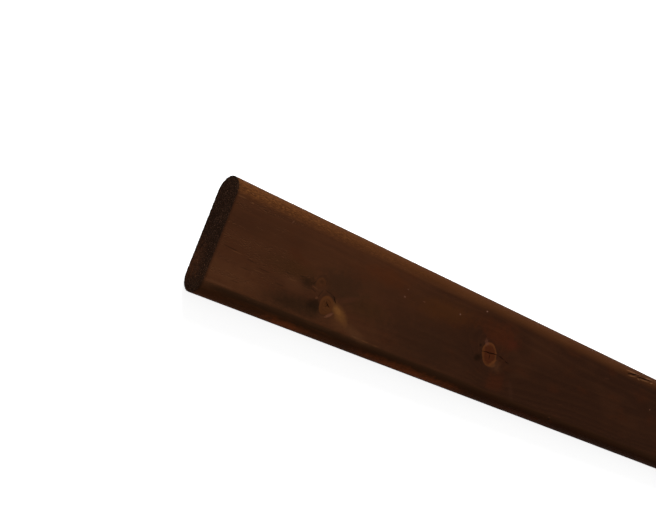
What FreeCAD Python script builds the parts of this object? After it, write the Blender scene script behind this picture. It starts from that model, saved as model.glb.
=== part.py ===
"""A planed softwood fence board: one sawn piece, both long edges rounded over, both ends cut square.

Sizes are in millimetres. The board lies flat on its back face. X runs along its length, Y across its
width and Z through its thickness, and the origin is the middle of the back face.
"""

import FreeCAD, Part

import math
import os

LENGTH = 1800.0  # one fence bay, from post centre to post centre
WIDTH = 95.0
THICKNESS = 28.0
ARRIS_ANGLE = 5.5  # degrees between a wide face and the rounded edge, where they meet

# Each long edge is a single arc through the whole thickness. The cutter that makes it is a little
# larger than half the thickness, so the arc meets each wide face at a faint arris.
EDGE_RADIUS = THICKNESS / 2 / math.cos(math.radians(ARRIS_ANGLE))
EDGE_DEPTH = EDGE_RADIUS * (1 - math.sin(math.radians(ARRIS_ANGLE)))  # from the arris out to the nose


def board_section():
    """The cross-section, a flat face in the plane of the board's first end."""
    first_end = -LENGTH / 2
    nose = WIDTH / 2
    arris = nose - EDGE_DEPTH
    mid_height = THICKNESS / 2

    left_nose = FreeCAD.Vector(first_end, -nose, mid_height)
    left_back = FreeCAD.Vector(first_end, -arris, 0)
    left_front = FreeCAD.Vector(first_end, -arris, THICKNESS)
    right_nose = FreeCAD.Vector(first_end, nose, mid_height)
    right_back = FreeCAD.Vector(first_end, arris, 0)
    right_front = FreeCAD.Vector(first_end, arris, THICKNESS)

    outline = [
        Part.LineSegment(left_back, right_back),
        Part.Arc(right_back, right_nose, right_front),
        Part.LineSegment(right_front, left_front),
        Part.Arc(left_front, left_nose, left_back),
    ]
    return Part.Face(Part.Wire([piece.toShape() for piece in outline]))


def board():
    """The whole board: its cross-section, carried along its length."""
    return board_section().extrude(FreeCAD.Vector(LENGTH, 0, 0))


os.makedirs("parts", exist_ok=True)
board().exportStep("parts/board.step")
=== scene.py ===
"""A planed softwood fence board, stained dark brown, lying on its back face under soft light.

The board is one sawn piece. Geometry Nodes make it from its section, planed along its length, and carve its
fine relief inward: raised grain, knots, drying checks, a torn-out splinter and two rough sawn ends. The grain
follows one rule, so relief and colour agree: rings round a pith below the board, pushed aside by branches.

Places on the board are in millimetres. X runs along it from its middle, Y across it, and Z up from its back.
"""

import math

import bpy
from mathutils import Matrix, Vector


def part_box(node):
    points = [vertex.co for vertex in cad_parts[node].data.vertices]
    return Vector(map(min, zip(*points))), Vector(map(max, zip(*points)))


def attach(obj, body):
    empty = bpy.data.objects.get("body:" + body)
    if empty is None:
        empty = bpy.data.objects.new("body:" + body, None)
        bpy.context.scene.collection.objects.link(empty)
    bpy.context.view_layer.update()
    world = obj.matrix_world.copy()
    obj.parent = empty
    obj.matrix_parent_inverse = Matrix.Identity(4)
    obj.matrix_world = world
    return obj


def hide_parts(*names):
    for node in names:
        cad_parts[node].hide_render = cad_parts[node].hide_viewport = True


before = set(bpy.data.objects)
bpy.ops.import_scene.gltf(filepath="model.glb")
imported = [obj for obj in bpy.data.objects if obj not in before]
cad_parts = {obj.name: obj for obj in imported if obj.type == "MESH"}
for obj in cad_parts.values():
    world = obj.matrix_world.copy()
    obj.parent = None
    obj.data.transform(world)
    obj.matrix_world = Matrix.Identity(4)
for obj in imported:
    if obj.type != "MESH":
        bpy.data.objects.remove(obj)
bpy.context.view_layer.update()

MM = 0.001
low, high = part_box("board")
LENGTH, WIDTH, THICKNESS = ((top - bottom) / MM for bottom, top in zip(low, high))

# The section. Each long edge is one arc that meets the wide faces at a faint arris.
ARRIS_ANGLE = math.radians(5.5)
EDGE_RADIUS = THICKNESS / 2 / math.cos(ARRIS_ANGLE)
EDGE_CENTRE = WIDTH / 2 - EDGE_RADIUS
ARRIS = EDGE_CENTRE + EDGE_RADIUS * math.sin(ARRIS_ANGLE)  # how far the flat reaches from the middle line

# The carved skin: quads across a flat, from an arris to an edge's shoulder, and round the edge's nose.
FLAT_COLUMNS = 56
SHOULDER_COLUMNS = 8
NOSE_COLUMNS = 18

# Rows along the board: (up to this many millimetres from the first end, millimetres a row).
# They are closest at the first end, the knots and the torn edge, where the relief is finest.
ROWS = [
    (12, 1.0), (92, 2.5), (142, 1.0), (296, 3.2), (348, 1.05), (534, 4.0), (600, 1.6), (700, 6.0), (728, 1.8),
    (958, 7.5), (990, 1.8), (1206, 7.5), (1238, 1.8), (1488, 8.0), (1516, 2.0), (1700, 8.0), (1788, 6.0),
    (1800, 1.5),
]

# The pith that the rings grew round. It runs below the board, so the front face shows broad, flat-sawn grain.
PITH_Y = 6.0
PITH_Z = -24.0
RING_WIDTH = 2.7
RING_DRIFT = 9.0  # how far the rings wander
TRUNK_TAPER = 0.012  # how far they close in on the pith with each millimetre along the board
SWELL = 0.9  # how far a branch pushes them out, as a share of its radius
SWELL_REACH = 9.0  # the distance from its bark over which the push fades

# The branches: (distance from the first end, Y, radius at the front face, lean along the board, the long
# axis of their oval in degrees, its stretch, how plainly the knot shows through the stain, redness)
KNOTS = [
    (117.3, -17.8, 7.1, 0.10, -58, 0.06, 1.0, 0.0),
    (104.4, -2.7, 4.4, 0.12, 0, 0.10, 0.35, 0.4),
    (320.9, -1.8, 9.2, 0.24, -44, 0.26, 1.0, 1.0),
    (714.0, 24.0, 7.0, 0.18, 20, 0.15, 0.7, 0.5),
    (973.0, -27.0, 8.5, 0.20, -30, 0.18, 0.85, 0.3),
    (1222.0, 9.0, 9.0, 0.24, 15, 0.25, 0.9, 0.6),
    (1501.0, -12.0, 6.0, 0.16, 60, 0.12, 0.65, 0.4),
]

# How deep each kind of relief goes.
GRAIN_DEPTH = 0.07
FURROW_DEPTH = 0.08
KNOT_GAP_DEPTH = 0.28
KNOT_HEART_DEPTH = 0.35
TUFT_DEPTH = 0.24
FIBRE_END_DEPTH = 0.42
KERF_DEPTH = 0.07
KERF_SPACING = 5.5

# Where two faces of the skin meet at more than this, their edge looks sharp.
SHARP_ANGLE = math.radians(32)


def srgb(code):
    """A colour written as on a paint chart, turned into the linear numbers that a shader takes."""
    channels = [int(code[i:i + 2], 16) / 255 for i in (1, 3, 5)]
    return [c / 12.92 if c <= 0.04045 else ((c + 0.055) / 1.055) ** 2.4 for c in channels] + [1.0]


def add(tree, kind, inputs=None, **settings):
    """Adds a node with its settings. Each input is a value, or the node or socket that feeds it."""
    node = tree.nodes.new(kind)
    for name, value in settings.items():
        setattr(node, name, value)
    for key, value in (inputs or {}).items():
        socket = node.inputs[key] if isinstance(key, int) else next(
            s for s in node.inputs if s.name == key and s.enabled)
        if isinstance(value, bpy.types.Node):
            value = next(s for s in value.outputs if s.enabled)
        if isinstance(value, bpy.types.NodeSocket):
            tree.links.new(value, socket)
        else:
            socket.default_value = value
    return node


def from_first_end(distance):
    """X in millimetres of a place that lies this far from the first end."""
    return distance - LENGTH / 2


def stretched_noise(tree, place, length, width, detail, roughness=0.5):
    """Noise in patches of about this length along the board and this width across it."""
    place = add(tree, "ShaderNodeVectorMath", {0: place, 1: (1 / length, 1 / width, 1 / width)},
                operation="MULTIPLY")
    return add(tree, "ShaderNodeTexNoise", {"Vector": place, "Scale": 1.0, "Detail": detail,
                                            "Roughness": roughness})


def trace_grain(tree, place):
    """How the tree grew at a place in the board, in millimetres.

    Returns the place that its fibre would have without branches and its distance from the pith. For the
    nearest branch it returns the distance outside its bark and from its heart, and the look of its knot.
    """
    fibre = place
    swell = 0.0
    nearest = None
    wobble = add(tree, "ShaderNodeTexNoise", {"Vector": place, "Scale": 1 / 6.25, "Detail": 1.0})
    wobble = add(tree, "ShaderNodeMapRange", {"Value": wobble, "To Min": -1.0, "To Max": 1.0})
    for distance, y, radius, lean, turn, stretch, showing, redness in KNOTS:
        face = Vector((from_first_end(distance), y, THICKNESS))
        root = Vector((face.x - lean * (THICKNESS - PITH_Z), PITH_Y, PITH_Z))
        axis = (face - root).normalized()
        sideways = axis.cross(Vector((1, 0, 0))).normalized()
        oval = Vector((math.cos(math.radians(turn)), math.sin(math.radians(turn)), 0))
        oval = (oval - axis * oval.dot(axis)).normalized()
        spread = radius / (face - root).length
        reach = add(tree, "ShaderNodeVectorMath", {0: place, 1: root}, operation="SUBTRACT")
        squeeze = add(tree, "ShaderNodeVectorMath", {0: reach, 1: oval * stretch}, operation="DOT_PRODUCT")
        squeeze = add(tree, "ShaderNodeVectorMath", {0: oval, "Scale": squeeze.outputs["Value"]},
                      operation="SCALE")
        reach = add(tree, "ShaderNodeVectorMath", {0: reach, 1: squeeze}, operation="SUBTRACT")
        along = add(tree, "ShaderNodeVectorMath", {0: reach, 1: axis}, operation="DOT_PRODUCT")
        off_axis = add(tree, "ShaderNodeVectorMath", {0: reach, 1: axis}, operation="CROSS_PRODUCT")
        heart = add(tree, "ShaderNodeVectorMath", {0: off_axis}, operation="LENGTH")
        girth = add(tree, "ShaderNodeMath", {0: along, 1: spread, 2: wobble}, operation="MULTIPLY_ADD")
        bark = add(tree, "ShaderNodeMath", {0: heart, 1: girth}, operation="SUBTRACT")

        # The fibre parts round the branch as water parts round a post, further along the board than across.
        beside = add(tree, "ShaderNodeVectorMath", {0: reach, 1: sideways}, operation="DOT_PRODUCT")
        heart_squared = add(tree, "ShaderNodeMath", {0: heart, 1: heart}, operation="MULTIPLY")
        beside_squared = add(tree, "ShaderNodeMath", {0: beside, 1: beside}, operation="MULTIPLY")
        stretched = add(tree, "ShaderNodeMath", {0: heart_squared, 1: 0.25, 2: beside_squared},
                        operation="MULTIPLY_ADD")
        girth_squared = add(tree, "ShaderNodeMath", {0: girth, 1: girth}, operation="MULTIPLY")
        widest = add(tree, "ShaderNodeMath", {0: stretched, 1: girth_squared}, operation="MAXIMUM")
        parting = add(tree, "ShaderNodeMath", {0: girth_squared, 1: widest}, operation="DIVIDE")
        push = add(tree, "ShaderNodeMath", {0: beside, 1: parting}, operation="MULTIPLY")
        shift = add(tree, "ShaderNodeVectorMath", {0: sideways, "Scale": push}, operation="SCALE")
        fibre = add(tree, "ShaderNodeVectorMath", {0: fibre, 1: shift}, operation="SUBTRACT")

        # The rings swell outward along the branch, which leaves ovals round the knot on a planed face.
        fading = add(tree, "ShaderNodeMath", {0: bark, 1: -1 / SWELL_REACH}, operation="MULTIPLY")
        fading = add(tree, "ShaderNodeMath", {0: fading, 1: 0.0}, operation="MINIMUM")
        fading = add(tree, "ShaderNodeMath", {0: fading}, operation="EXPONENT")
        swell = add(tree, "ShaderNodeMath", {0: fading, 1: SWELL * radius, 2: swell},
                    operation="MULTIPLY_ADD")

        branch = add(tree, "ShaderNodeCombineXYZ", {0: bark, 1: heart})
        if nearest is None:
            nearest, nearest_bark, look = branch, bark, (showing, redness, 0.0)
        else:
            closer = add(tree, "ShaderNodeMath", {0: bark, 1: nearest_bark}, operation="LESS_THAN")
            nearest = add(tree, "ShaderNodeMix", {"Factor": closer, "A": nearest, "B": branch},
                          data_type="VECTOR")
            nearest_bark = add(tree, "ShaderNodeMath", {0: bark, 1: nearest_bark}, operation="MINIMUM")
            look = add(tree, "ShaderNodeMix", {"Factor": closer, "A": look, "B": (showing, redness, 0.0)},
                       data_type="VECTOR")

    drift = stretched_noise(tree, fibre, 260, 30, detail=2.0, roughness=0.45)
    outward = add(tree, "ShaderNodeVectorMath", {0: fibre, 1: (0, -PITH_Y, -PITH_Z)}, operation="ADD")
    outward = add(tree, "ShaderNodeVectorMath", {0: outward, 1: (TRUNK_TAPER, 1, 1)}, operation="MULTIPLY")
    lengthwise = add(tree, "ShaderNodeSeparateXYZ", {0: outward})
    across = add(tree, "ShaderNodeVectorMath", {0: outward, 1: (0, 1, 1)}, operation="MULTIPLY")
    across = add(tree, "ShaderNodeVectorMath", {0: across}, operation="LENGTH")
    ring = add(tree, "ShaderNodeMath", {0: drift, 1: RING_DRIFT, 2: across}, operation="MULTIPLY_ADD")
    ring = add(tree, "ShaderNodeMath", {0: ring, 1: lengthwise.outputs["X"]}, operation="ADD")
    ring = add(tree, "ShaderNodeMath", {0: ring, 1: swell}, operation="SUBTRACT")
    return fibre, ring, nearest, look


def latewood(tree, ring):
    """How much of a place is the dense brown end of a year's ring: it builds up slowly and stops sharply."""
    year = add(tree, "ShaderNodeMath", {0: ring, 1: RING_WIDTH}, operation="DIVIDE")
    year = add(tree, "ShaderNodeMath", {0: year}, operation="FRACT")
    rise = add(tree, "ShaderNodeMapRange", {"Value": year, "From Min": 0.35, "From Max": 0.88},
               interpolation_type="SMOOTHSTEP")
    stop = add(tree, "ShaderNodeMapRange", {"Value": year, "From Min": 0.88, "From Max": 1.0, "To Min": 1.0,
                                            "To Max": 0.0}, interpolation_type="SMOOTHSTEP")
    return add(tree, "ShaderNodeMath", {0: rise, 1: stop}, operation="MULTIPLY")


def new_tree(name, kind, inputs, outputs):
    """An empty node tree with named inputs and outputs."""
    tree = bpy.data.node_groups.new(name, kind)
    for in_out, sockets in (("INPUT", inputs), ("OUTPUT", outputs)):
        for socket_name, socket_kind in sockets:
            tree.interface.new_socket(socket_name, in_out=in_out, socket_type=socket_kind)
    return tree


def count_rows():
    """The zones of rows along the board: (first row, last row, first millimetre, last millimetre)."""
    zones = []
    row, start = 0, 0.0
    for end, step in ROWS:
        count = round((end - start) / step)
        zones.append((row, row + count, start, end))
        row, start = row + count, end
    return zones


def shape_board():
    """The tree that makes the board's skin: a block of quads, shaped to the section and then carved."""
    tree = new_tree("planed_board", "GeometryNodeTree", [
        ("Length", "NodeSocketFloat"), ("Arris distance", "NodeSocketFloat"),
        ("Edge radius", "NodeSocketFloat"), ("Half thickness", "NodeSocketFloat"),
        ("Side grain", "NodeSocketMaterial"), ("End grain", "NodeSocketMaterial"),
        ("Painted check shade", "NodeSocketMaterial"),
    ], [("Board", "NodeSocketGeometry")])
    size = add(tree, "NodeGroupInput").outputs
    zones = count_rows()
    rows = zones[-1][1]
    columns = FLAT_COLUMNS + 2 * SHOULDER_COLUMNS
    block = add(tree, "GeometryNodeMeshCube", {
        "Size": (rows, 2.0, 2.0), "Vertices X": rows + 1, "Vertices Y": columns + 1,
        "Vertices Z": NOSE_COLUMNS + 1})
    corner = add(tree, "ShaderNodeSeparateXYZ", {0: add(tree, "GeometryNodeInputPosition")})
    row = add(tree, "ShaderNodeMath", {0: corner.outputs["X"], 1: rows / 2}, operation="ADD")

    # Along the board: each zone adds its own length.
    x = add(tree, "ShaderNodeMath", {0: size["Length"], 1: -0.5}, operation="MULTIPLY")
    for first, last, start, end in zones:
        part = add(tree, "ShaderNodeMapRange", {"Value": row, "From Min": first, "From Max": last,
                                                "To Max": end - start})
        x = add(tree, "ShaderNodeMath", {0: x, 1: part}, operation="ADD")

    # Across it: the flat first, then the shoulder, whose columns bend into the edge's arc.
    flat_share = FLAT_COLUMNS / columns
    out = add(tree, "ShaderNodeMath", {0: corner.outputs["Y"]}, operation="ABSOLUTE")
    side = add(tree, "ShaderNodeMath", {0: corner.outputs["Y"]}, operation="SIGN")
    on_flat = add(tree, "ShaderNodeMapRange", {"Value": out, "From Max": flat_share})
    shoulder = add(tree, "ShaderNodeMapRange", {"Value": out, "From Min": flat_share, "From Max": 1.0})
    arris_angle = math.pi / 2 - ARRIS_ANGLE
    nose_angle = math.pi / 4
    angle = add(tree, "ShaderNodeMapRange", {"Value": shoulder, "To Min": arris_angle, "To Max": nose_angle})
    height_angle = add(tree, "ShaderNodeMath", {0: corner.outputs["Z"], 1: nose_angle}, operation="MULTIPLY")
    bulge = add(tree, "ShaderNodeMath", {0: height_angle}, operation="COSINE")
    bulge = add(tree, "ShaderNodeMath", {0: bulge, 1: math.cos(nose_angle)}, operation="SUBTRACT")
    reach = add(tree, "ShaderNodeMath", {0: angle}, operation="COSINE")
    reach = add(tree, "ShaderNodeMath", {0: reach, 1: math.cos(arris_angle)}, operation="SUBTRACT")
    reach = add(tree, "ShaderNodeMath", {0: bulge, 1: shoulder, 2: reach}, operation="MULTIPLY_ADD")
    reach = add(tree, "ShaderNodeMath", {0: reach, 1: size["Edge radius"]}, operation="MULTIPLY")
    y = add(tree, "ShaderNodeMath", {0: on_flat, 1: size["Arris distance"], 2: reach},
            operation="MULTIPLY_ADD")
    y = add(tree, "ShaderNodeMath", {0: y, 1: side}, operation="MULTIPLY")

    # Up through it: straight lines at the arris, which bend to the arc at the nose.
    bent = add(tree, "ShaderNodeMath", {0: height_angle}, operation="SINE")
    bent = add(tree, "ShaderNodeMath", {0: bent, 1: math.sin(nose_angle)}, operation="DIVIDE")
    level = add(tree, "ShaderNodeMix", {"Factor": shoulder, "A": corner.outputs["Z"], "B": bent})
    rise = add(tree, "ShaderNodeMath", {0: angle}, operation="SINE")
    rise = add(tree, "ShaderNodeMath", {0: rise, 1: size["Edge radius"]}, operation="MULTIPLY")
    z = add(tree, "ShaderNodeMath", {0: level, 1: rise, 2: size["Half thickness"]}, operation="MULTIPLY_ADD")

    shaped = add(tree, "ShaderNodeCombineXYZ", {0: x, 1: y, 2: z})
    shaped = add(tree, "ShaderNodeVectorMath", {0: shaped, "Scale": MM}, operation="SCALE")
    # The ends are known by the block's first and last row, before it is shaped.
    quarter_row = 0.25
    beyond = add(tree, "ShaderNodeMath", {0: corner.outputs["X"]}, operation="ABSOLUTE")
    at_end = add(tree, "FunctionNodeCompare", {0: beyond, 1: rows / 2 - quarter_row},
                 operation="GREATER_THAN")
    ends = add(tree, "GeometryNodeStoreNamedAttribute", {
        "Geometry": block.outputs["Mesh"], "Name": "sawn_end", "Value": at_end},
        data_type="BOOLEAN", domain="FACE")
    rim = add(tree, "GeometryNodeStoreNamedAttribute", {
        "Geometry": ends, "Name": "sawn_rim", "Value": at_end}, data_type="FLOAT", domain="POINT")
    skin = add(tree, "GeometryNodeSetPosition", {"Geometry": rim, "Position": shaped})
    skin = carve_relief(tree, skin)
    skin = add(tree, "GeometryNodeSetMaterial", {"Geometry": skin, "Material": size["Side grain"]})
    sawn = add(tree, "GeometryNodeInputNamedAttribute", {"Name": "sawn_end"}, data_type="BOOLEAN")
    skin = add(tree, "GeometryNodeSetMaterial", {
        "Geometry": skin, "Selection": sawn, "Material": size["End grain"]})
    skin = split_checks(tree, skin, size["Painted check shade"])
    place = add(tree, "ShaderNodeVectorMath", {
        0: add(tree, "GeometryNodeInputPosition"), "Scale": 1 / MM}, operation="SCALE")
    fibre, ring, branch, look = trace_grain(tree, place)
    for name, value, kind in (
        ("fibre", fibre, "FLOAT_VECTOR"), ("ring", ring, "FLOAT"), ("branch", branch, "FLOAT_VECTOR"),
        ("knot_look", look, "FLOAT_VECTOR"),
    ):
        skin = add(tree, "GeometryNodeStoreNamedAttribute", {
            "Geometry": skin, "Name": name, "Value": value}, data_type=kind, domain="POINT")
    for name in ("sawn_end", "sawn_rim"):
        skin = add(tree, "GeometryNodeRemoveAttribute", {"Geometry": skin, "Name": name})
    skin = add(tree, "GeometryNodeSetShadeSmooth", {"Geometry": skin})
    finished = add(tree, "GeometryNodeRealizeInstances", {"Geometry": skin})
    add(tree, "NodeGroupOutput", {0: finished})
    return tree


def carve_relief(tree, skin):
    """Sinks each point of the skin by its relief, and never lifts one, so the board keeps its size."""
    place = add(tree, "ShaderNodeVectorMath", {
        0: add(tree, "GeometryNodeInputPosition"), "Scale": 1 / MM}, operation="SCALE")
    fibre, ring, branch = trace_grain(tree, place)[:3]
    late = latewood(tree, ring)
    knot = add(tree, "ShaderNodeSeparateXYZ", {0: branch})
    bark, heart = knot.outputs["X"], knot.outputs["Y"]

    # Soft earlywood wears down between the hard lines, and the fibres leave fine furrows.
    depth = add(tree, "ShaderNodeMapRange", {"Value": late, "To Min": GRAIN_DEPTH, "To Max": 0.0})
    furrows = stretched_noise(tree, fibre, 40, 2.2, detail=2.0)
    furrows = add(tree, "ShaderNodeMapRange", {"Value": furrows, "From Min": 0.35, "From Max": 0.75,
                                               "To Max": FURROW_DEPTH})
    depth = add(tree, "ShaderNodeMath", {0: depth, 1: furrows}, operation="ADD")

    # Inside a knot the wood is hard and level. A shrinkage gap runs round it and its heart has sunk.
    in_knot = add(tree, "ShaderNodeMapRange", {"Value": bark, "From Min": -0.6, "From Max": 0.6})
    depth = add(tree, "ShaderNodeMath", {0: depth, 1: in_knot}, operation="MULTIPLY")
    gap = add(tree, "ShaderNodeMath", {0: bark}, operation="ABSOLUTE")
    gap = add(tree, "ShaderNodeMapRange", {
        "Value": gap, "From Max": 1.3, "To Min": KNOT_GAP_DEPTH, "To Max": 0.0},
        interpolation_type="SMOOTHSTEP")
    sunk = add(tree, "ShaderNodeMapRange", {
        "Value": heart, "From Max": 2.4, "To Min": KNOT_HEART_DEPTH, "To Max": 0.0},
        interpolation_type="SMOOTHSTEP")
    for hollow in (gap, sunk):
        depth = add(tree, "ShaderNodeMath", {0: depth, 1: hollow}, operation="ADD")

    # The cutter tore the fibres along one rounded edge, most of all near the first end.
    side = add(tree, "ShaderNodeSeparateXYZ", {0: place})
    torn = add(tree, "ShaderNodeMapRange", {
        "Value": side.outputs["Y"], "From Min": ARRIS - 4, "From Max": ARRIS + 3})
    torn_front = add(tree, "ShaderNodeMapRange", {
        "Value": side.outputs["Z"], "From Min": 8.0, "From Max": 16.0})
    torn_along = add(tree, "ShaderNodeMapRange", {
        "Value": side.outputs["X"], "From Min": from_first_end(60), "From Max": from_first_end(420),
        "To Min": 1.0, "To Max": 0.25})
    tufts = stretched_noise(tree, place, 3.2, 1.4, detail=2.0, roughness=0.7)
    tufts = add(tree, "ShaderNodeMapRange", {"Value": tufts, "From Min": 0.3, "From Max": 0.7,
                                             "To Max": TUFT_DEPTH})
    for share in (torn, torn_front, torn_along):
        tufts = add(tree, "ShaderNodeMath", {0: tufts, 1: share}, operation="MULTIPLY")
    depth = add(tree, "ShaderNodeMath", {0: depth, 1: tufts}, operation="ADD")

    # The saw leaves pulled fibre ends and slanting kerf lines on the ends, and breaks their rim.
    rim = add(tree, "GeometryNodeInputNamedAttribute", {"Name": "sawn_rim"}, data_type="FLOAT")
    ends = add(tree, "ShaderNodeTexNoise", {"Vector": place, "Scale": 0.62, "Detail": 2.0, "Roughness": 0.65})
    ends = add(tree, "ShaderNodeMapRange", {"Value": ends, "From Min": 0.3, "From Max": 0.7,
                                            "To Max": FIBRE_END_DEPTH})
    kerf = add(tree, "ShaderNodeVectorMath", {0: place, 1: (0, 0.94, 0.34)}, operation="DOT_PRODUCT")
    kerf = add(tree, "ShaderNodeMath", {0: kerf, 1: 2 * math.pi / KERF_SPACING}, operation="MULTIPLY")
    kerf = add(tree, "ShaderNodeMath", {0: kerf}, operation="SINE")
    ends = add(tree, "ShaderNodeMath", {0: kerf, 1: KERF_DEPTH, 2: ends}, operation="MULTIPLY_ADD")
    depth = add(tree, "ShaderNodeMix", {"Factor": rim, "A": depth, "B": ends})

    depth = add(tree, "ShaderNodeMath", {0: depth, 1: 0.0}, operation="MAXIMUM")
    offset = add(tree, "ShaderNodeMath", {0: depth, 1: -MM}, operation="MULTIPLY")
    offset = add(tree, "ShaderNodeVectorMath", {
        0: add(tree, "GeometryNodeInputNormal"), "Scale": offset}, operation="SCALE")
    return add(tree, "GeometryNodeSetPosition", {"Geometry": skin, "Offset": offset})


# Drying checks and torn slivers: (start, end, width, depth, wander), with X from the first end.
CHECKS = [
    ((309.0, -1.6, 28.0), (334.5, 0.4, 28.0), 0.95, 2.4, 1.1),
    ((334.0, 0.2, 28.0), (343.5, -1.5, 28.0), 0.80, 1.6, 0.7),
    ((344.5, -1.8, 28.0), (352.0, -3.6, 28.0), 0.60, 1.2, 0.5),
    ((322.0, -1.4, 28.0), (322.8, -7.2, 28.0), 0.80, 1.3, 0.5),
    ((115.4, -14.8, 28.0), (121.4, -19.4, 28.0), 0.75, 1.3, 0.5),
    ((116.4, -19.8, 28.0), (119.2, -17.0, 28.0), 0.55, 1.0, 0.3),
    ((120.6, -8.2, 28.0), (126.8, -14.2, 28.0), 0.75, 1.2, 0.5),
    ((538.0, 38.6, 27.1), (563.0, 41.4, 25.6), 1.60, 1.3, 0.9),
    ((556.0, 39.6, 26.7), (592.0, 41.8, 25.4), 1.80, 1.4, 1.2),
    ((548.0, 40.6, 26.2), (574.0, 42.6, 24.7), 1.20, 0.9, 1.4),
    ((709.0, 24.8, 28.0), (719.5, 22.6, 28.0), 0.60, 1.2, 0.5),
    ((966.5, -28.4, 28.0), (980.5, -25.6, 28.0), 0.85, 1.8, 0.8),
    ((1213.5, 7.8, 28.0), (1232.0, 10.4, 28.0), 0.95, 2.2, 1.0),
    ((1223.0, 9.2, 28.0), (1221.0, 3.6, 28.0), 0.60, 1.2, 0.4),
]


def split_checks(tree, skin, material):
    """Cuts thin V-shaped checks into the skin, one after another.

    Each runs along a line that wanders by its own stretch of one noise, and narrows towards its ends.
    """
    for number, (start, end, width, depth, wander) in enumerate(CHECKS):
        ends = [Vector((from_first_end(x), y, z)) * MM for x, y, z in (start, end)]
        line = add(tree, "GeometryNodeCurvePrimitiveLine", {"Start": ends[0], "End": ends[1]})
        line = add(tree, "GeometryNodeResampleCurve", {"Curve": line, "Count": 14})
        share = add(tree, "GeometryNodeSplineParameter")
        sway = add(tree, "ShaderNodeMath", {0: share, 1: 3.3, 2: 7.1 * number}, operation="MULTIPLY_ADD")
        sway = add(tree, "ShaderNodeTexNoise", {"W": sway, "Scale": 1.0, "Detail": 3.0},
                   noise_dimensions="1D")
        sway = add(tree, "ShaderNodeMapRange", {"Value": sway, "To Min": -wander * MM, "To Max": wander * MM})
        across = (ends[1] - ends[0]).cross(Vector((0, 0, 1))).normalized()
        sway = add(tree, "ShaderNodeVectorMath", {0: across, "Scale": sway}, operation="SCALE")
        line = add(tree, "GeometryNodeSetPosition", {"Geometry": line, "Offset": sway})
        taper = add(tree, "ShaderNodeMath", {0: share, 1: math.pi}, operation="MULTIPLY")
        taper = add(tree, "ShaderNodeMath", {0: taper}, operation="SINE")
        taper = add(tree, "ShaderNodeMapRange", {"Value": taper, "To Min": 0.12, "To Max": 1.0})
        wedge = add(tree, "GeometryNodeCurvePrimitiveCircle", {"Resolution": 4, "Radius": 0.5}, mode="RADIUS")
        wedge = add(tree, "GeometryNodeTransform", {
            "Geometry": wedge, "Scale": (width * MM, 2 * depth * MM, 1.0)})
        line = add(tree, "GeometryNodeSetCurveNormal", {"Curve": line}, mode="Z_UP")
        wedge = add(tree, "GeometryNodeCurveToMesh", {
            "Curve": line, "Profile Curve": wedge, "Scale": taper, "Fill Caps": True})
        # The cut's faces take the nearly black material: painted shade inside the check.
        wedge = add(tree, "GeometryNodeSetMaterial", {"Geometry": wedge, "Material": material})
        skin = add(tree, "GeometryNodeMeshBoolean", {"Mesh 1": skin, "Mesh 2": wedge},
                   operation="DIFFERENCE", solver="MANIFOLD")
    return skin


def start_material(name, roughness, gloss):
    """A new material, with its node tree and its one shader. A smooth varnish would have a gloss of 0.5."""
    material = bpy.data.materials.new(name)
    material.use_nodes = True
    tree = material.node_tree
    tree.nodes.clear()
    shader = add(tree, "ShaderNodeBsdfPrincipled", {
        "Roughness": roughness, "IOR": 1.5, "Specular IOR Level": gloss})
    add(tree, "ShaderNodeOutputMaterial", {"Surface": shader})
    return material, tree, shader


# Places where the wood took more or less stain, and painted reflected light along one edge's nose: (distance
# from the first end, Y, half length, half width, turn in degrees, colour, strength).
MARKS = [
    (12.0, -24.0, 46.0, 11.0, 0, "#492b19", 0.65),
    (14.0, 45.0, 60.0, 10.0, 0, "#482911", 0.3),
    (158.0, -8.0, 26.0, 10.0, 0, "#33200f", 0.4),
    (74.0, -2.0, 28.0, 9.0, 0, "#33200f", 0.45),
    (235.0, -15.0, 66.0, 20.0, 0, "#2c1a10", 0.6),
    (171.0, 25.0, 24.0, 9.0, 0, "#45220f", 0.5),
    (247.0, 18.0, 42.0, 11.0, 4, "#41230f", 0.6),
    (331.0, 18.0, 28.0, 13.0, 0, "#411d0e", 0.55),
    (305.0, 24.0, 30.0, 9.0, 0, "#3d1e0e", 0.4),
    (348.6, 15.4, 9.0, 6.0, 0, "#431c11", 0.42),
    (342.0, -24.6, 15.0, 10.0, 10, "#411c0d", 0.42),
    (127.0, 2.0, 27.0, 15.0, 0, "#2c1c11", 0.6),
    (91.0, -7.0, 9.0, 6.5, 20, "#24160c", 0.8),
    (90.0, -26.5, 36.0, 8.0, 3, "#28190e", 0.8),
    (105.0, -20.8, 9.5, 5.5, 8, "#1e120a", 0.78),
    (80.0, -12.0, 15.0, 6.0, 0, "#492b1a", 0.45),
    (138.0, -27.5, 14.0, 6.5, -20, "#462917", 0.8),
    (156.0, -31.0, 18.0, 4.5, -14, "#4a2d1b", 0.65),
    (133.5, -20.2, 14.0, 5.0, -30, "#5c391c", 0.8),
    (122.0, -10.6, 4.0, 2.2, -30, "#26170e", 0.5),
    (137.0, -7.0, 13.0, 2.8, 22, "#432517", 0.45),
    (308.4, -8.8, 5.6, 4.0, 10, "#1d1008", 0.85),
    (305.6, 2.6, 1.8, 1.5, 0, "#1e1009", 0.8),
    (335.0, -10.0, 10.0, 6.0, -15, "#462918", 0.55),
    (368.0, -27.0, 11.0, 3.4, -53, "#3a2216", 0.4),
    (3.0, -38.0, 10.0, 6.0, 0, "#4a2c1a", 0.6),
    # These three, orange on the far edge's nose, are painted reflected light from the floor.
    (90.0, -46.0, 30.0, 4.5, 0, "#75391a", 0.8),
    (240.0, -46.0, 78.0, 5.0, 0, "#75391a", 0.8),
    (400.0, -46.0, 60.0, 4.0, 0, "#4f2613", 0.6),
]
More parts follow.
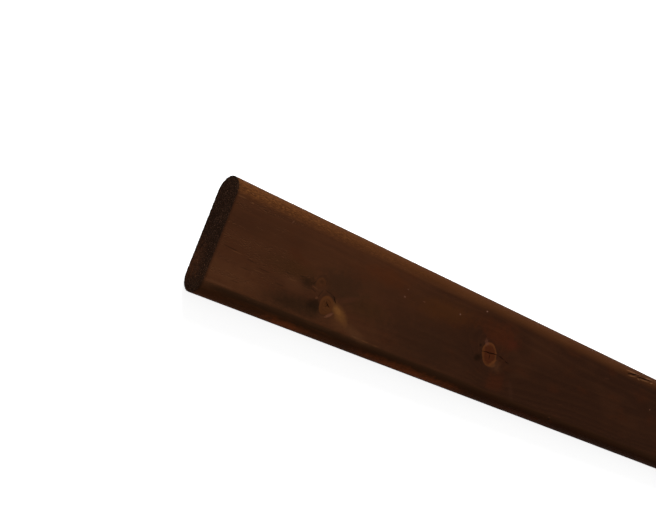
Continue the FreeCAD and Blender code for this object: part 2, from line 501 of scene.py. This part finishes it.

# Torn fibre on top of the stain and the knots, written as MARKS is: pale lips beside knots, small specks,
# thin dark furrows, the torn edge's splinters and a painted highlight along one arris.
LIPS = [
    (123.6, -24.6, 4.8, 1.5, 38, "#563424", 0.85),
    (130.8, -18.8, 5.2, 2.6, -30, "#643f1f", 0.75),
    (107.8, -10.2, 4.4, 0.5, 70, "#22140c", 0.55),
    (98.0, -4.2, 2.6, 0.6, 62, "#24150c", 0.6),
    (99.6, -10.4, 4.6, 0.5, -16, "#24150c", 0.6),
    (84.0, -3.8, 3.4, 0.6, 10, "#26170d", 0.6),
    (70.0, -5.6, 4.4, 0.5, -4, "#26170d", 0.5),
    (100.0, -8.0, 3.6, 0.7, -10, "#4c2d1c", 0.6),
    (76.0, -9.4, 5.0, 0.6, 2, "#4e301d", 0.55),
    (115.2, -7.4, 6.0, 0.5, -11, "#22140c", 0.5),
    (105.2, -15.2, 1.7, 1.3, 0, "#4f301f", 0.7),
    (329.5, -8.6, 6.5, 2.1, 46, "#583219", 0.75),
    (331.5, -10.8, 3.4, 1.6, 30, "#50301a", 0.55),
    (312.4, 7.4, 3.8, 2.6, -40, "#4f2f22", 0.7),
    (312.6, -2.0, 2.0, 4.2, 20, "#4f2b14", 0.6),
    (57.0, 32.6, 1.8, 0.6, 60, "#523424", 0.8),
    (16.0, 32.5, 1.5, 0.6, 0, "#55351f", 0.8),
    (5.0, 33.5, 5.0, 0.8, 0, "#55351f", 0.6),
    (195.0, 15.0, 1.3, 0.8, 0, "#5d3e31", 0.85),
    (195.7, 22.0, 1.1, 0.6, 0, "#56382a", 0.8),
    (218.6, 17.9, 2.0, 0.6, 0, "#583426", 0.7),
    (266.4, 21.0, 1.1, 0.8, 0, "#66483c", 0.9),
    (298.6, 34.0, 1.1, 0.8, 0, "#6b4c3e", 0.9),
    (601.0, 11.8, 1.4, 1.1, 0, "#583a2c", 0.75),
    (438.0, -37.2, 2.2, 1.0, 0, "#4c2e1e", 0.6),
    (438.4, -38.6, 1.8, 0.9, 0, "#1c100a", 0.8),
    (444.0, -40.4, 4.0, 1.2, -14, "#46210f", 0.6),
    (507.0, 23.5, 5.0, 0.8, 8, "#3b2215", 0.6),
    (447.0, -21.0, 5.0, 0.8, 8, "#3a2114", 0.6),
    # These four pale strokes along the far arris are a painted highlight.
    (158.0, -33.6, 5.0, 0.6, -2, "#4f3320", 0.7),
    (170.0, -34.0, 5.0, 0.5, 0, "#53351f", 0.7),
    (183.0, -34.2, 4.0, 0.5, 0, "#4c2f1c", 0.6),
    (12.0, -33.4, 16.0, 0.9, 0, "#4f3120", 0.4),
    (13.0, -5.2, 8.0, 0.36, -3, "#22130b", 0.75),
    (19.0, -6.5, 6.0, 0.45, -1, "#52331e", 0.5),
    (35.0, -8.4, 7.0, 0.36, -2, "#24150c", 0.6),
    (48.0, -11.2, 8.0, 0.38, -1, "#24150c", 0.6),
    (44.0, -13.6, 6.0, 0.45, 0, "#52331e", 0.5),
    (30.0, -15.6, 5.0, 0.45, 1, "#26170d", 0.5),
    (66.0, -16.8, 5.0, 0.45, 0, "#26170d", 0.5),
    (26.0, -27.6, 4.0, 0.45, 1, "#28190e", 0.5),
    (34.0, 30.5, 8.0, 0.45, 2, "#2a190e", 0.4),
    (549.0, 37.6, 9.0, 0.7, 8, "#583a24", 0.75),
    (574.0, 38.8, 11.0, 0.7, 4, "#583a24", 0.75),
    (562.0, 37.4, 2.6, 0.8, -10, "#5c3e28", 0.8),
    (589.0, 39.6, 3.0, 0.8, 12, "#5c3e28", 0.8),
    (548.0, 42.0, 11.0, 0.8, 3, "#5c3c26", 0.8),
    (560.0, 41.8, 9.0, 0.8, 4, "#5e3f2a", 0.7),
    (584.0, 42.8, 9.0, 0.8, 5, "#5e3f2a", 0.7),
]


# How far below the face a mark fades out, on a rounded edge.
MARK_DROP = 12


def lay_marks(tree, place, colour, marks, raggedness, softness):
    """Lays oval marks over a colour.

    Raggedness is the size of the bites out of their outline. Softness is 0 for a crisp outline.
    """
    ragged = add(tree, "ShaderNodeTexNoise", {"Vector": place, "Scale": 1 / raggedness, "Detail": 3.0,
                                              "Roughness": 0.6})
    ragged = add(tree, "ShaderNodeMapRange", {"Value": ragged, "To Min": -0.6, "To Max": 0.6})
    below = add(tree, "ShaderNodeVectorMath", {0: place, 1: (0, 0, 1 / MARK_DROP)}, operation="DOT_PRODUCT")
    below = add(tree, "ShaderNodeMath", {0: below, 1: THICKNESS / MARK_DROP}, operation="SUBTRACT")
    below = add(tree, "ShaderNodeMath", {0: below, 1: below}, operation="MULTIPLY")
    for distance, y, half_length, half_width, turn, tint, strength in marks:
        centre = Vector((from_first_end(distance), y, 0))
        along = Vector((math.cos(math.radians(turn)), math.sin(math.radians(turn)), 0))
        across = Vector((-along.y, along.x, 0))
        # How far out a place lies, as a share of the mark's half length and half width.
        mark = below
        for axis, half in ((along, half_length), (across, half_width)):
            share = add(tree, "ShaderNodeVectorMath", {0: place, 1: axis / half}, operation="DOT_PRODUCT")
            share = add(tree, "ShaderNodeMath", {0: share, 1: centre.dot(axis) / half}, operation="SUBTRACT")
            mark = add(tree, "ShaderNodeMath", {0: share, 1: share, 2: mark}, operation="MULTIPLY_ADD")
        mark = add(tree, "ShaderNodeMath", {0: mark}, operation="SQRT")
        mark = add(tree, "ShaderNodeMath", {0: mark, 1: ragged}, operation="ADD")
        mark = add(tree, "ShaderNodeMapRange", {
            "Value": mark, "From Min": 1.0 + 0.35 * softness, "From Max": 0.8 - 0.55 * softness,
            "To Max": strength}, interpolation_type="SMOOTHSTEP")
        colour = add(tree, "ShaderNodeMix", {"Factor": mark, "A": colour, "B": srgb(tint)}, data_type="RGBA")
    return colour


def lay_stain(tree, place, side, fibre, late):
    """The stain before any mark: warm and thin at the first end, and deeper further along, in soft clouds.

    Returns its colour, the fibre's fine streaks and how far a place lies on the torn edge.
    """
    deeper = add(tree, "ShaderNodeMapRange", {
        "Value": side.outputs["X"], "From Min": from_first_end(70), "From Max": from_first_end(400)},
        interpolation_type="SMOOTHSTEP")
    clouds = stretched_noise(tree, fibre, 80, 30, detail=3.0)
    clouds = add(tree, "ShaderNodeMapRange", {"Value": clouds, "From Min": 0.3, "From Max": 0.7,
                                              "To Min": -0.35, "To Max": 0.35})
    deeper = add(tree, "ShaderNodeMath", {0: deeper, 1: clouds}, operation="ADD")
    colour = add(tree, "ShaderNodeMix", {"Factor": deeper, "A": srgb("#3e2314"), "B": srgb("#2d190f")},
                 data_type="RGBA")
    blush = stretched_noise(tree, place, 34, 15, detail=2.0)
    blush = add(tree, "ShaderNodeMapRange", {
        "Value": blush, "From Min": 0.52, "From Max": 0.75, "To Max": 0.32}, interpolation_type="SMOOTHSTEP")
    colour = add(tree, "ShaderNodeMix", {"Factor": blush, "A": colour, "B": srgb("#3c1c0d")},
                 data_type="RGBA")

    # One rounded edge is torn. The other: a tint partly painted shade, and painted reflected light on its
    # nose.
    torn = add(tree, "ShaderNodeMapRange", {"Value": side.outputs["Y"], "From Min": ARRIS - 2.0,
                                            "From Max": ARRIS + 5.0})
    # Partly the edge's own colour, partly painted shade: a crisp darker step at the arris.
    even = add(tree, "ShaderNodeMapRange", {"Value": side.outputs["Y"], "From Min": -ARRIS + 0.4,
                                            "From Max": -ARRIS - 0.6})
    ragged = stretched_noise(tree, place, 30, 3, detail=3.0, roughness=0.6)
    ragged = add(tree, "ShaderNodeMath", {0: ragged, 1: 16.0, 2: side.outputs["Y"]}, operation="MULTIPLY_ADD")
    # The lighter, redder nose is painted reflected light from the floor.
    nose_bounce_light = add(tree, "ShaderNodeMapRange", {
        "Value": ragged, "From Min": 4.5 - ARRIS, "From Max": -3.5 - ARRIS})
    for share, thin, deep in (
        (torn, "#391e0c", "#371d0c"), (even, "#331f12", "#331d10"), (nose_bounce_light, "#4b2814", "#371a0b"),
    ):
        tint = add(tree, "ShaderNodeMix", {"Factor": deeper, "A": srgb(thin), "B": srgb(deep)},
                   data_type="RGBA")
        colour = add(tree, "ShaderNodeMix", {"Factor": share, "A": colour, "B": tint}, data_type="RGBA")

    # Hard latewood takes less stain than the earlywood beside it, and fibres streak it finely.
    late_share = add(tree, "ShaderNodeMath", {0: late, 1: 0.05}, operation="MULTIPLY")
    colour = add(tree, "ShaderNodeMix", {"Factor": late_share, "A": colour, "B": srgb("#55341d")},
                 data_type="RGBA")
    streaks = stretched_noise(tree, fibre, 45, 1.3, detail=3.0, roughness=0.6)
    streak_share = add(tree, "ShaderNodeMapRange", {"Value": streaks, "From Min": 0.45, "From Max": 0.75,
                                                    "To Max": 0.1})
    colour = add(tree, "ShaderNodeMix", {"Factor": streak_share, "A": colour, "B": srgb("#20130a")},
                 data_type="RGBA")
    return colour, streaks, torn


def show_knots(tree, colour, branch, look):
    """Knots: dense wood that took little stain, with close rings, a paler rim and a small dark heart."""
    knot = add(tree, "ShaderNodeSeparateXYZ", {0: branch})
    bark, heart = knot.outputs["X"], knot.outputs["Y"]
    look = add(tree, "ShaderNodeSeparateXYZ", {0: look})
    showing, redness = look.outputs["X"], look.outputs["Y"]
    ring_spacing = 1.9
    rings = add(tree, "ShaderNodeMath", {0: heart, 1: 2 * math.pi / ring_spacing}, operation="MULTIPLY")
    rings = add(tree, "ShaderNodeMath", {0: rings}, operation="SINE")
    rings = add(tree, "ShaderNodeMapRange", {"Value": rings, "From Min": -1.0, "To Max": 0.16})
    rim = add(tree, "ShaderNodeMapRange", {"Value": bark, "From Min": -3.0, "From Max": -0.8})
    rim_share = add(tree, "ShaderNodeMapRange", {"Value": redness, "To Min": 0.35, "To Max": 0.85})
    rim = add(tree, "ShaderNodeMath", {0: rim, 1: rim_share}, operation="MULTIPLY")
    dark_heart = add(tree, "ShaderNodeMapRange", {"Value": heart, "From Min": 2.2, "From Max": 0.4,
                                                  "To Max": 0.3})
    wood = srgb("#452713")
    for share, code in (
        (redness, "#411f0f"), (rings, "#2c180b"), (rim, "#502d17"), (dark_heart, "#2a180c"),
    ):
        wood = add(tree, "ShaderNodeMix", {"Factor": share, "A": wood, "B": srgb(code)}, data_type="RGBA")
    in_knot = add(tree, "ShaderNodeMapRange", {"Value": bark, "From Min": 0.35, "From Max": -0.35})
    in_knot = add(tree, "ShaderNodeMath", {0: in_knot, 1: showing}, operation="MULTIPLY")
    return add(tree, "ShaderNodeMix", {"Factor": in_knot, "A": colour, "B": wood}, data_type="RGBA")


def pit_first_end(tree, colour, side, fibre):
    """Short torn fibres in patches near the first end: dark pits, each with a pale lip beside it."""
    near_end = add(tree, "ShaderNodeMapRange", {
        "Value": side.outputs["X"], "From Min": from_first_end(20), "From Max": from_first_end(120),
        "To Min": 0.8, "To Max": 0.0})
    patches = stretched_noise(tree, fibre, 45, 5, detail=1.0)
    patches = add(tree, "ShaderNodeMapRange", {"Value": patches, "From Min": 0.5, "From Max": 0.62})
    near_end = add(tree, "ShaderNodeMath", {0: near_end, 1: patches}, operation="MULTIPLY")
    for shift, code in ((0.0, "#1c110a"), (0.6, "#573722")):
        pits = add(tree, "ShaderNodeMapping", {
            "Vector": fibre, "Location": (0, -shift, 0), "Scale": (2.6, 0.5, 0.5)}, vector_type="TEXTURE")
        pits = add(tree, "ShaderNodeTexNoise", {"Vector": pits, "Scale": 1.0, "Detail": 2.0,
                                                "Roughness": 0.6})
        pits = add(tree, "ShaderNodeMapRange", {"Value": pits, "From Min": 0.56, "From Max": 0.64,
                                                "To Max": 0.9})
        pits = add(tree, "ShaderNodeMath", {0: pits, 1: near_end}, operation="MULTIPLY")
        colour = add(tree, "ShaderNodeMix", {"Factor": pits, "A": colour, "B": srgb(code)}, data_type="RGBA")
    return colour


def soak_ends(tree, colour, side):
    """The sawn ends drank more stain, which darkens the skin's last millimetres."""
    soaked = add(tree, "ShaderNodeMath", {0: side.outputs["X"]}, operation="ABSOLUTE")
    soaked = add(tree, "ShaderNodeMapRange", {"Value": soaked, "From Min": LENGTH / 2 - 2.5,
                                              "From Max": LENGTH / 2 - 0.2, "To Max": 0.7})
    return add(tree, "ShaderNodeMix", {"Factor": soaked, "A": colour, "B": srgb("#24150c")}, data_type="RGBA")


def colour_tufts(tree, colour, side, torn, tufts):
    """Pale torn tufts along one rounded edge, with dark gaps between, most of all near the first end."""
    fuzz = add(tree, "ShaderNodeMapRange", {
        "Value": side.outputs["X"], "From Min": from_first_end(40), "From Max": from_first_end(230),
        "To Min": 1.0, "To Max": 0.12})
    fuzz = add(tree, "ShaderNodeMath", {0: fuzz, 1: torn}, operation="MULTIPLY")
    for least, most, share, code in ((0.5, 0.64, 0.42, "#734823"), (0.47, 0.35, 0.45, "#221309")):
        tuft = add(tree, "ShaderNodeMapRange", {"Value": tufts, "From Min": least, "From Max": most,
                                                "To Max": share})
        tuft = add(tree, "ShaderNodeMath", {0: tuft, 1: fuzz}, operation="MULTIPLY")
        colour = add(tree, "ShaderNodeMix", {"Factor": tuft, "A": colour, "B": srgb(code)}, data_type="RGBA")
    return colour


def make_side_grain():
    """Planed spruce under a dark brown stain: a dull, cloudy skin with paler knots and fine torn fibre."""
    material, tree, shader = start_material("brown_stained_spruce", 0.6, 0.005)
    place = add(tree, "ShaderNodeTexCoord").outputs["Object"]
    place = add(tree, "ShaderNodeVectorMath", {0: place, "Scale": 1 / MM}, operation="SCALE")
    fibre = add(tree, "ShaderNodeAttribute", attribute_name="fibre").outputs["Vector"]
    ring = add(tree, "ShaderNodeAttribute", attribute_name="ring").outputs["Fac"]
    branch = add(tree, "ShaderNodeAttribute", attribute_name="branch").outputs["Vector"]
    look = add(tree, "ShaderNodeAttribute", attribute_name="knot_look").outputs["Vector"]
    side = add(tree, "ShaderNodeSeparateXYZ", {0: place})
    tufts = stretched_noise(tree, place, 3.2, 0.5, detail=3.0, roughness=0.65)

    colour, streaks, torn = lay_stain(tree, place, side, fibre, latewood(tree, ring))
    colour = lay_marks(tree, place, colour, MARKS, raggedness=6.0, softness=1.0)
    colour = show_knots(tree, colour, branch, look)
    colour = lay_marks(tree, place, colour, LIPS, raggedness=1.4, softness=0.5)
    colour = pit_first_end(tree, colour, side, fibre)
    colour = soak_ends(tree, colour, side)
    colour = colour_tufts(tree, colour, side, torn, tufts)

    # Fibre and torn tufts lift and sink the surface by hundredths of a millimetre.
    tufts = add(tree, "ShaderNodeMath", {0: tufts, 1: torn}, operation="MULTIPLY")
    lift = add(tree, "ShaderNodeMath", {0: tufts, 1: 1.2, 2: streaks}, operation="MULTIPLY_ADD")
    bump = add(tree, "ShaderNodeBump", {"Height": lift, "Strength": 0.4, "Distance": 0.2 * MM})
    tree.links.new(colour.outputs[2], shader.inputs["Base Color"])
    tree.links.new(bump.outputs[0], shader.inputs["Normal"])
    dullness = add(tree, "ShaderNodeMapRange", {"Value": streaks, "From Min": 0.3, "From Max": 0.7,
                                                "To Min": 0.55, "To Max": 0.65})
    tree.links.new(dullness.outputs[0], shader.inputs["Roughness"])
    return material


def make_end_grain():
    """Sawn end grain: open pores that drank the stain, nearly black, with pale broken fibre tips."""
    material, tree, shader = start_material("stained_spruce_end_grain", 0.85, 0.01)
    place = add(tree, "ShaderNodeTexCoord").outputs["Object"]
    place = add(tree, "ShaderNodeVectorMath", {0: place, "Scale": 1 / MM}, operation="SCALE")
    ring = add(tree, "ShaderNodeAttribute", attribute_name="ring").outputs["Fac"]
    late = latewood(tree, ring)
    colour = add(tree, "ShaderNodeMix", {"Factor": late, "A": srgb("#1f120b"), "B": srgb("#28170c")},
                 data_type="RGBA")
    side = add(tree, "ShaderNodeSeparateXYZ", {0: place})
    # A low patch on one side is rusty and blotchy.
    rusty = add(tree, "ShaderNodeMapRange", {"Value": side.outputs["Y"], "From Min": 0.0, "From Max": -22.0})
    low_down = add(tree, "ShaderNodeMapRange", {"Value": side.outputs["Z"], "From Min": 19.0, "From Max": 9.0,
                                                "To Min": 0.08, "To Max": 0.65})
    off_nose = add(tree, "ShaderNodeMapRange", {
        "Value": side.outputs["Y"], "From Min": -42.0, "From Max": -31.0})
    blotches = add(tree, "ShaderNodeTexNoise", {"Vector": place, "Scale": 0.24, "Detail": 2.0})
    blotches = add(tree, "ShaderNodeMapRange", {"Value": blotches, "From Min": 0.35, "From Max": 0.65,
                                                "To Min": 0.3, "To Max": 1.6})
    for share in (low_down, off_nose, blotches):
        rusty = add(tree, "ShaderNodeMath", {0: rusty, 1: share}, operation="MULTIPLY")

    # Grit in patches of about 0.7 mm, and broken fibre tips of about 0.5 mm.
    grit = add(tree, "ShaderNodeTexNoise", {"Vector": place, "Scale": 1.5, "Detail": 4.0, "Roughness": 0.75})
    dark = add(tree, "ShaderNodeMapRange", {"Value": grit, "From Min": 0.52, "From Max": 0.38, "To Max": 0.8})
    tips = add(tree, "ShaderNodeTexNoise", {"Vector": place, "Scale": 1.9, "Detail": 2.0, "Roughness": 0.6})
    tips = add(tree, "ShaderNodeMapRange", {"Value": tips, "From Min": 0.63, "From Max": 0.67,
                                            "To Max": 0.85})
    for share, code in ((rusty, "#472817"), (dark, "#140c07"), (tips, "#755440")):
        colour = add(tree, "ShaderNodeMix", {"Factor": share, "A": colour, "B": srgb(code)}, data_type="RGBA")
    bump = add(tree, "ShaderNodeBump", {"Height": grit, "Strength": 0.8, "Distance": 0.8 * MM})
    tree.links.new(colour.outputs[2], shader.inputs["Base Color"])
    tree.links.new(bump.outputs[0], shader.inputs["Normal"])
    return material


def make_painted_check_shade():
    """The inside of a drying check or a torn place: nearly black, painted shade for the cut's deep shadow."""
    material, _, shader = start_material("painted_check_shade", 0.9, 0.0)
    shader.inputs["Base Color"].default_value = srgb("#1a0f08")
    return material


def make_board():
    """Runs the board's tree once and keeps what it made as a plain mesh."""
    tree = shape_board()
    blank = bpy.data.objects.new("board_blank", bpy.data.meshes.new("board_blank"))
    bpy.context.scene.collection.objects.link(blank)
    planer = blank.modifiers.new("planer", "NODES")
    planer.node_group = tree
    sizes = {
        "Length": LENGTH, "Arris distance": ARRIS, "Edge radius": EDGE_RADIUS,
        "Half thickness": THICKNESS / 2,
        "Side grain": make_side_grain(), "End grain": make_end_grain(), "Painted check shade": make_painted_check_shade(),
    }
    for socket in tree.interface.items_tree:
        if socket.in_out == "INPUT":
            planer[socket.identifier] = sizes[socket.name]
    depsgraph = bpy.context.evaluated_depsgraph_get()
    mesh = bpy.data.meshes.new_from_object(blank.evaluated_get(depsgraph), depsgraph=depsgraph)
    bpy.data.objects.remove(blank)
    mesh.name = "stained_board"
    mesh.materials.pop(index=0)  # the empty place that the block starts with
    mesh.set_sharp_from_angle(angle=SHARP_ANGLE)
    piece = bpy.data.objects.new("stained_board", mesh)
    bpy.context.scene.collection.objects.link(piece)
    return piece


board = make_board()
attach(board, "root")
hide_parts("board")


def make_floor():
    """A plain white floor that shows white to the camera and keeps the board's soft shadow."""
    mesh = bpy.data.meshes.new("floor")
    reach = 6.0
    level = -0.0002  # in metres, a hair below the board's back, so that the two never share a plane
    mesh.from_pydata([(-reach, -reach, level), (reach, -reach, level), (reach, reach, level),
                      (-reach, reach, level)], [], [(0, 1, 2, 3)])
    floor = bpy.data.objects.new("floor", mesh)
    bpy.context.scene.collection.objects.link(floor)
    material = bpy.data.materials.new("white_floor")
    material.use_nodes = True
    tree = material.node_tree
    tree.nodes.clear()
    paint = add(tree, "ShaderNodeBsdfDiffuse", {"Color": srgb("#d8d8d8")})
    glow = add(tree, "ShaderNodeEmission", {"Color": srgb("#ffffff"), "Strength": 0.8})
    seen = add(tree, "ShaderNodeAddShader", {0: paint, 1: glow})
    path = add(tree, "ShaderNodeLightPath")
    direct = path.outputs["Is Camera Ray"]
    for ray in ("Is Glossy Ray", "Is Transmission Ray"):
        direct = add(tree, "ShaderNodeMath", {0: direct, 1: path.outputs[ray]}, operation="MAXIMUM")
    mixed = add(tree, "ShaderNodeMixShader", {0: direct, 1: paint, 2: seen})
    add(tree, "ShaderNodeOutputMaterial", {"Surface": mixed})
    mesh.materials.append(material)


def make_light(name, place, aim, size, power):
    """A square soft light at a place, turned to a point on the board, in metres and watts."""
    lamp = bpy.data.lights.new(name, "AREA")
    lamp.shape = "SQUARE"
    lamp.size = size
    lamp.energy = power
    light = bpy.data.objects.new(name, lamp)
    light.location = place
    light.rotation_euler = (Vector(aim) - Vector(place)).to_track_quat("-Z", "Y").to_euler()
    light.visible_camera = False
    bpy.context.scene.collection.objects.link(light)


def make_surroundings():
    """An even grey surround that shows white behind everything."""
    world = bpy.data.worlds.new("surround")
    bpy.context.scene.world = world
    world.use_nodes = True
    tree = world.node_tree
    tree.nodes.clear()
    dim = add(tree, "ShaderNodeBackground", {"Color": srgb("#ffffff"), "Strength": 0.30})
    white = add(tree, "ShaderNodeBackground", {"Color": srgb("#ffffff"), "Strength": 1.0})
    path = add(tree, "ShaderNodeLightPath")
    mixed = add(tree, "ShaderNodeMixShader", {0: path.outputs["Is Camera Ray"], 1: dim, 2: white})
    add(tree, "ShaderNodeOutputWorld", {"Surface": mixed})


# The camera's place in metres, the way it looks and the way that is up for it.
EYE = (-1.27035, -0.0419, 0.64906)
SIGHT = (0.6018, 0.08057, -0.79457)
UPRIGHT = (-0.33128, 0.93045, -0.15656)


def make_camera():
    """Looks down on the first end from above it, turned so that the board runs down to the right."""
    lens = bpy.data.cameras.new("camera")
    lens.sensor_width = 36.0
    lens.lens = 53.0
    camera = bpy.data.objects.new("camera", lens)
    sight = Vector(SIGHT).normalized()
    right = sight.cross(Vector(UPRIGHT)).normalized()
    up = right.cross(sight)
    turn = Matrix((right, up, -sight)).transposed()
    camera.matrix_world = Matrix.Translation(EYE) @ turn.to_4x4()
    bpy.context.scene.collection.objects.link(camera)
    bpy.context.scene.camera = camera


make_floor()
make_light("side_window", place=(-1.15, 1.25, 0.62), aim=(-0.55, 0.0, 0.02), size=0.9, power=34.0)
make_light("far_window", place=(0.7, 1.5, 0.8), aim=(0.45, 0.0, 0.02), size=1.0, power=20.0)
make_surroundings()
make_camera()
bpy.context.scene.view_settings.view_transform = "Standard"
